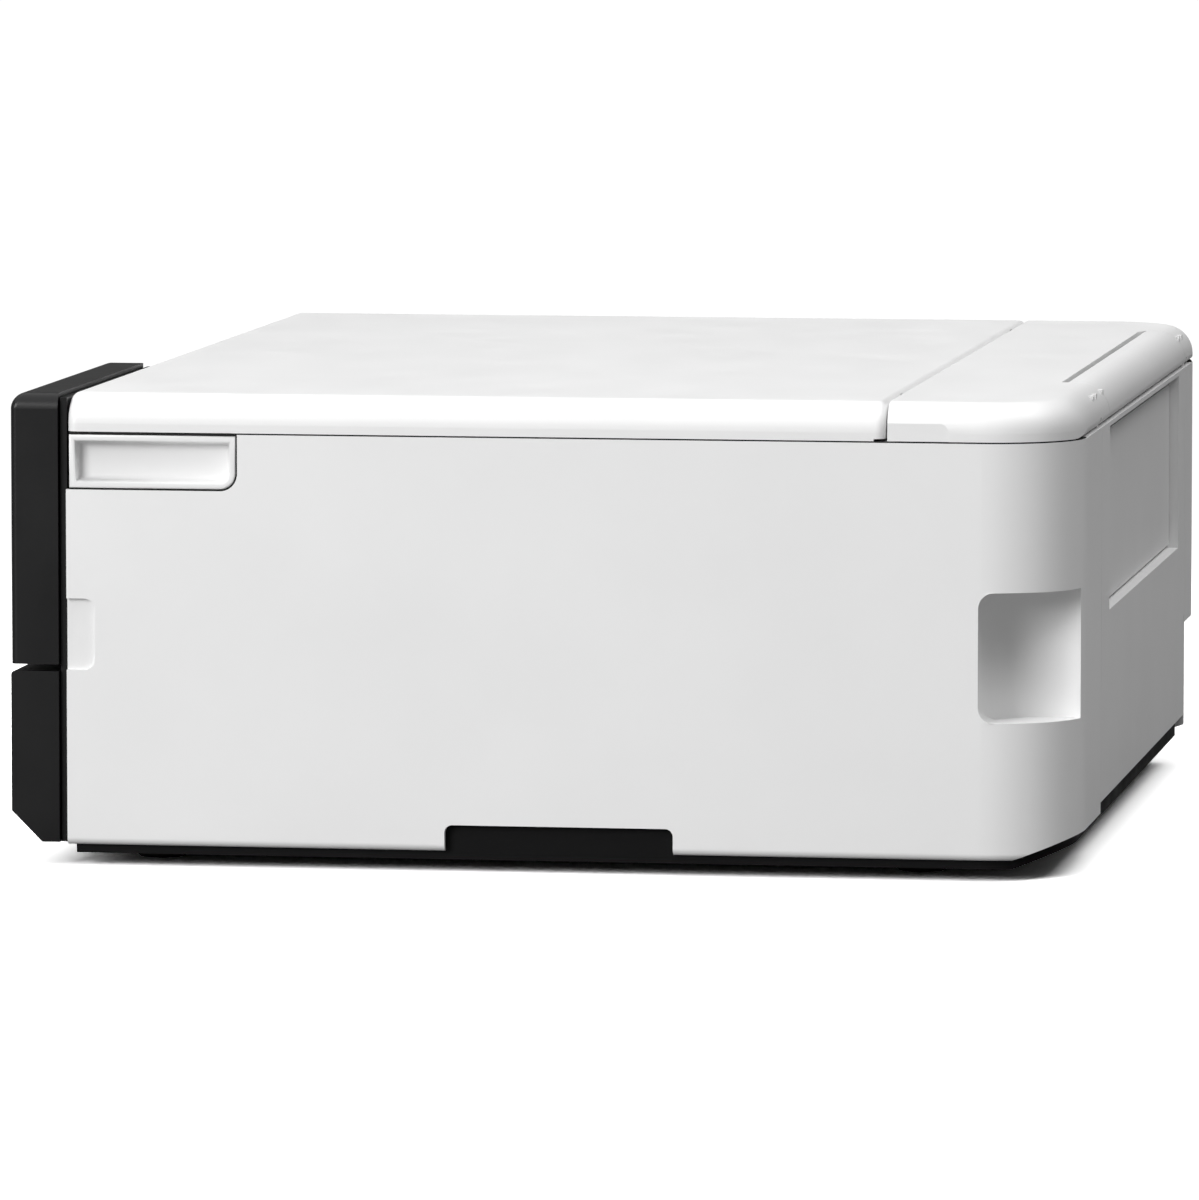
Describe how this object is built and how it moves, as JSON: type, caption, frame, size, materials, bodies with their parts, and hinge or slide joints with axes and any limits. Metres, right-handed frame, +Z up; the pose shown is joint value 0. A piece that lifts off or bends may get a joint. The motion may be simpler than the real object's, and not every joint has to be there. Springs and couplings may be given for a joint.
{
  "type": "inkjet multifunction printer",
  "caption": "Compact inkjet multifunction printer: flatbed scanner under a hinged lid, tilting panel, ink door, paper drawer, rear feed and jam covers, with its paper path and carriage inside.",
  "frame": {"origin": "centre of the footprint, on the surface the rubber feet stand on", "axes": "+X along the width, to the right of someone facing the front; -Y is the front with the panel and tray; +Z is up"},
  "size_m": [0.4, 0.341, 0.151],
  "materials": {
    "white_plastic": "fine matte",
    "black_plastic": "fine texture",
    "black_satin": "satin",
    "display_glass": "gloss",
    "button_plastic": "matte",
    "glass": "clear",
    "backing_white": "matte",
    "rubber": "matte",
    "grey_plastic": "matte",
    "steel": "brushed",
    "motor_steel": "brushed",
    "gear_plastic": "moulded",
    "cartridge_black": "matte",
    "cartridge_colour": "matte",
    "board_green": "matte",
    "belt_rubber": "matte"
  },
  "bodies": {
    "printer_body": {"base_pan": "black_plastic", "rubber_feet": "rubber", "casing_right": "white_plastic", "casing_left": "white_plastic", "rear_panel": "white_plastic", "front_bezel": "black_plastic", "hinge_brackets": "white_plastic", "chassis": "grey_plastic", "output_tray": "black_plastic", "paper_guide": "grey_plastic", "platen": "grey_plastic", "carriage_frame": "steel", "front_rail": "steel", "guide_shaft": "steel", "drive_belt": "belt_rubber", "feed_motor": "motor_steel", "carriage_motor": "motor_steel", "cartridge_holder": "grey_plastic", "ink_cartridge_black": "cartridge_black", "ink_cartridges_colour": "cartridge_colour", "maintenance_station": "grey_plastic", "waste_ink_box": "grey_plastic", "power_supply": "grey_plastic", "power_inlet": "black_plastic", "main_board": "board_green"},
    "scanner_unit": {"scanner_housing": "grey_plastic", "scanner_grips": "white_plastic", "glass_frame": "white_plastic", "scanner_glass": "glass", "rear_top_cover": "white_plastic", "scan_rod": "steel"},
    "document_lid": {"lid": "white_plastic", "lid_backing": "backing_white"},
    "feed_cover": {"manual_feed_cover": "white_plastic"},
    "scan_head": {"scan_bar": "grey_plastic"},
    "cartridge_door": {"ink_cover": "black_plastic"},
    "operating_panel": {"control_panel": "black_satin", "display": "display_glass"},
    "power_key": {"power_button": "button_plastic"},
    "home_key": {"home_button": "button_plastic"},
    "stop_key": {"stop_button": "button_plastic"},
    "start_key": {"start_button": "button_plastic"},
    "tray_drawer": {"paper_tray": "black_plastic", "tray_front": "black_plastic"},
    "left_guide": {"guide_left": "grey_plastic"},
    "right_guide": {"guide_right": "grey_plastic"},
    "guide_gear": {"guide_pinion": "gear_plastic"},
    "end_guide": {"length_guide": "grey_plastic"},
    "support_slide": {"paper_support": "black_plastic"},
    "jam_door": {"jam_cover": "white_plastic"},
    "carriage": {"print_carriage": "grey_plastic"},
    "pulley_right": {"drive_pulley": "gear_plastic"},
    "pulley_left": {"idler_pulley": "gear_plastic"},
    "feed_shaft": {"feed_roller": "steel"},
    "exit_shaft": {"exit_roller": "steel"},
    "idler": {"idler_gear": "gear_plastic"},
    "pinion": {"motor_pinion": "gear_plastic"},
    "pickup": {"pickup_arm": "grey_plastic"},
    "pickup_wheel": {"pickup_roller": "rubber"}
  },
  "joints": [
    {"name": "scanner_lift", "type": "hinge", "parent": "printer_body", "child": "scanner_unit", "pos_m": [0, 0.1679, 0.1415], "axis": [-1, 0, 0], "range_deg": [0, 35]},
    {"name": "lid_hinge", "type": "hinge", "parent": "scanner_unit", "child": "document_lid", "pos_m": [0, 0.107, 0.1482], "axis": [-1, 0, 0], "range_deg": [0, 85]},
    {"name": "manual_feed_hinge", "type": "hinge", "parent": "scanner_unit", "child": "feed_cover", "pos_m": [-0.0202, 0.1679, 0.1415], "axis": [-1, 0, 0], "range_deg": [0, 60]},
    {"name": "scan_travel", "type": "slide", "parent": "scanner_unit", "child": "scan_head", "axis": [1, 0, 0], "range_m": [0, 0.3]},
    {"name": "ink_cover_hinge", "type": "hinge", "parent": "printer_body", "child": "cartridge_door", "pos_m": [0.063, -0.166, 0.104], "axis": [0, 0, -1], "range_deg": [0, 95]},
    {"name": "panel_tilt", "type": "hinge", "parent": "printer_body", "child": "operating_panel", "pos_m": [-0.07075, -0.1595, 0.133], "axis": [-1, 0, 0], "range_deg": [0, 60]},
    {"name": "power_press", "type": "slide", "parent": "operating_panel", "child": "power_key", "axis": [0, 0.9845, -0.1753], "range_m": [0, 0.0008], "stiffness_N_per_m": 500},
    {"name": "home_press", "type": "slide", "parent": "operating_panel", "child": "home_key", "axis": [0, 0.9845, -0.1753], "range_m": [0, 0.0008], "stiffness_N_per_m": 500},
    {"name": "stop_press", "type": "slide", "parent": "operating_panel", "child": "stop_key", "axis": [0, 0.9845, -0.1753], "range_m": [0, 0.0008], "stiffness_N_per_m": 500},
    {"name": "start_press", "type": "slide", "parent": "operating_panel", "child": "start_key", "axis": [0, 0.9845, -0.1753], "range_m": [0, 0.0008], "stiffness_N_per_m": 500},
    {"name": "tray_slide", "type": "slide", "parent": "printer_body", "child": "tray_drawer", "axis": [0, -1, 0], "range_m": [0, 0.25]},
    {"name": "left_guide_slide", "type": "slide", "parent": "tray_drawer", "child": "left_guide", "axis": [1, 0, 0], "range_m": [0, 0.045]},
    {"name": "right_guide_slide", "type": "slide", "parent": "tray_drawer", "child": "right_guide", "axis": [1, 0, 0], "range_m": [-0.045, 0]},
    {"name": "guide_pinion_spin", "type": "hinge", "parent": "tray_drawer", "child": "guide_gear", "pos_m": [-0.016, -0.01, 0.0123], "axis": [0, 0, 1], "range_deg": [-430, 0]},
    {"name": "length_guide_slide", "type": "slide", "parent": "tray_drawer", "child": "end_guide", "axis": [0, 1, 0], "range_m": [0, 0.09]},
    {"name": "paper_support_slide", "type": "slide", "parent": "printer_body", "child": "support_slide", "axis": [0, -1, 0], "range_m": [0, 0.09]},
    {"name": "jam_cover_hinge", "type": "hinge", "parent": "printer_body", "child": "jam_door", "pos_m": [-0.01115, 0.1654, 0.0802], "axis": [-1, 0, 0], "range_deg": [0, 85]},
    {"name": "carriage_travel", "type": "slide", "parent": "printer_body", "child": "carriage", "axis": [-1, 0, 0], "range_m": [0, 0.256]},
    {"name": "drive_pulley_spin", "type": "hinge", "parent": "printer_body", "child": "pulley_right", "pos_m": [0.17, 0.056, 0.095], "axis": [0, 0, 1], "range_deg": [-2700, 0]},
    {"name": "idler_pulley_spin", "type": "hinge", "parent": "printer_body", "child": "pulley_left", "pos_m": [-0.17, 0.056, 0.095], "axis": [0, 0, 1], "range_deg": [-2700, 0]},
    {"name": "feed_roller_spin", "type": "hinge", "parent": "printer_body", "child": "feed_shaft", "pos_m": [-0.016, 0.044, 0.067], "axis": [1, 0, 0], "continuous": true},
    {"name": "exit_roller_spin", "type": "hinge", "parent": "printer_body", "child": "exit_shaft", "pos_m": [-0.016, -0.02, 0.067], "axis": [1, 0, 0], "continuous": true},
    {"name": "idler_gear_spin", "type": "hinge", "parent": "printer_body", "child": "idler", "pos_m": [-0.1421, 0.012, 0.067], "axis": [1, 0, 0], "continuous": true},
    {"name": "motor_pinion_spin", "type": "hinge", "parent": "printer_body", "child": "pinion", "pos_m": [-0.1421, 0.065, 0.067], "axis": [1, 0, 0], "continuous": true},
    {"name": "pickup_arm_swing", "type": "hinge", "parent": "printer_body", "child": "pickup", "pos_m": [-0.016, 0.066, 0.056], "axis": [1, 0, 0], "range_deg": [0, 12]},
    {"name": "pickup_roller_spin", "type": "hinge", "parent": "pickup", "child": "pickup_wheel", "pos_m": [-0.016, 0.112, 0.0335], "axis": [1, 0, 0], "continuous": true}
  ],
  "couplings": [
    {"joint": "right_guide_slide", "follows": "left_guide_slide", "ratio": -1},
    {"joint": "guide_pinion_spin", "follows": "left_guide_slide", "rad_per_m": -166.67},
    {"joint": "drive_pulley_spin", "follows": "carriage_travel", "rad_per_m": -181.82},
    {"joint": "idler_pulley_spin", "follows": "carriage_travel", "rad_per_m": -181.82},
    {"joint": "exit_roller_spin", "follows": "feed_roller_spin", "ratio": 1},
    {"joint": "idler_gear_spin", "follows": "feed_roller_spin", "ratio": -0.88235},
    {"joint": "motor_pinion_spin", "follows": "feed_roller_spin", "ratio": -2.5},
    {"joint": "pickup_roller_spin", "follows": "feed_roller_spin", "ratio": 0.45454}
  ]
}
